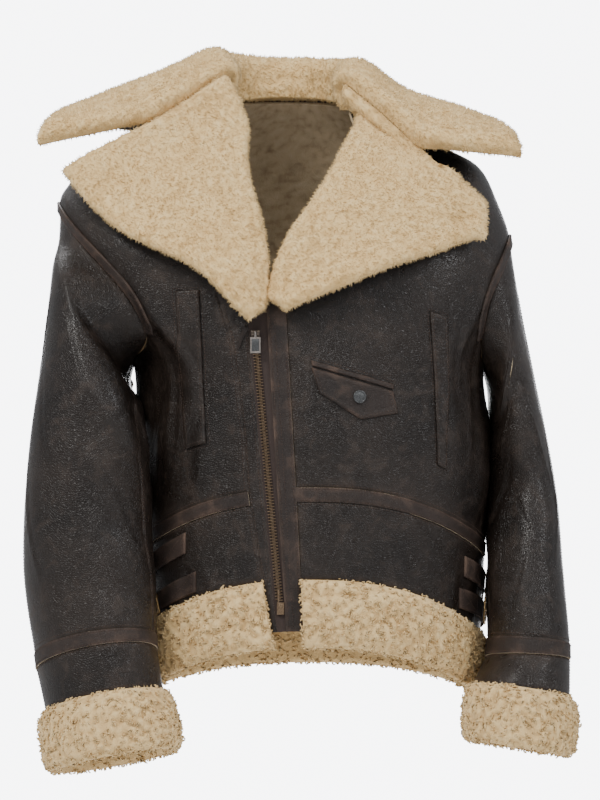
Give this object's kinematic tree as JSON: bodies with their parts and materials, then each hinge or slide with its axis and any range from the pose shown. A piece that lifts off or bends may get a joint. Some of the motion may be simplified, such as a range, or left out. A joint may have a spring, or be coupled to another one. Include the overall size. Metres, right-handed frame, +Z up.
{
  "type": "worn shearling aviator jacket",
  "caption": "Oversized dark brown leather jacket with cream shearling collar, lapels, cuffs and hem, an offset zip and buckled side straps, hollow as if worn",
  "frame": {"origin": "in the middle of the neck opening, level with the nape", "axes": "+Z up, the front faces -Y, +X is the wearer's left"},
  "size_m": [0.6333, 0.3762, 0.8352],
  "materials": {
    "leather": "grained dark brown leather with a soft sheen",
    "trim_leather": "browner worn leather with paler edges",
    "wool": "cream shearling pile",
    "tape": "dark brown woven zip tape",
    "brass": "antique brass",
    "dark_nickel": "dark nickel"
  },
  "bodies": {
    "jacket": {"armhole_band_left": "trim_leather", "armhole_band_right": "trim_leather", "back": "leather", "buckle_left_lower": "brass", "buckle_left_upper": "brass", "buckle_right_lower": "brass", "buckle_right_upper": "brass", "collar": "wool", "cuff_left": "wool", "cuff_right": "wool", "forearm_band_left": "trim_leather", "forearm_band_right": "trim_leather", "front_left": "leather", "front_right": "leather", "hem_back": "wool", "hem_left": "wool", "hem_right": "wool", "keeper_left_lower": "trim_leather", "keeper_left_upper": "trim_leather", "keeper_right_lower": "trim_leather", "keeper_right_upper": "trim_leather", "lapel_left": "wool", "lapel_right": "wool", "lower_back": "leather", "lower_front_left": "leather", "lower_front_right": "leather", "placket": "trim_leather", "pocket_flap": "trim_leather", "pocket_jet": "trim_leather", "pocket_snap": "dark_nickel", "sleeve_back_left": "leather", "sleeve_back_right": "leather", "sleeve_front_left": "leather", "sleeve_front_right": "leather", "sleeve_lower_left": "leather", "sleeve_lower_right": "leather", "strap_left_lower": "trim_leather", "strap_left_upper": "trim_leather", "strap_right_lower": "trim_leather", "strap_right_upper": "trim_leather", "waist_band_back": "trim_leather", "waist_band_left": "trim_leather", "waist_band_right": "trim_leather", "welt_left": "trim_leather", "welt_right": "trim_leather", "zip_box": "brass", "zip_chain": "brass", "zip_facing_strip": "leather", "zip_lug_left": "brass", "zip_lug_right": "brass", "zip_slider": "brass", "zip_tape": "tape", "zip_thong": "trim_leather"},
    "pull_tab": {"zip_pull_tab": "dark_nickel"}
  },
  "joints": [
    {"name": "pull_tab_hinge", "type": "hinge", "parent": "jacket", "child": "pull_tab", "pos_m": [-0.04129, -0.16507, -0.269], "axis": [-1, 0, 0], "range_deg": [0, 100]}
  ]
}
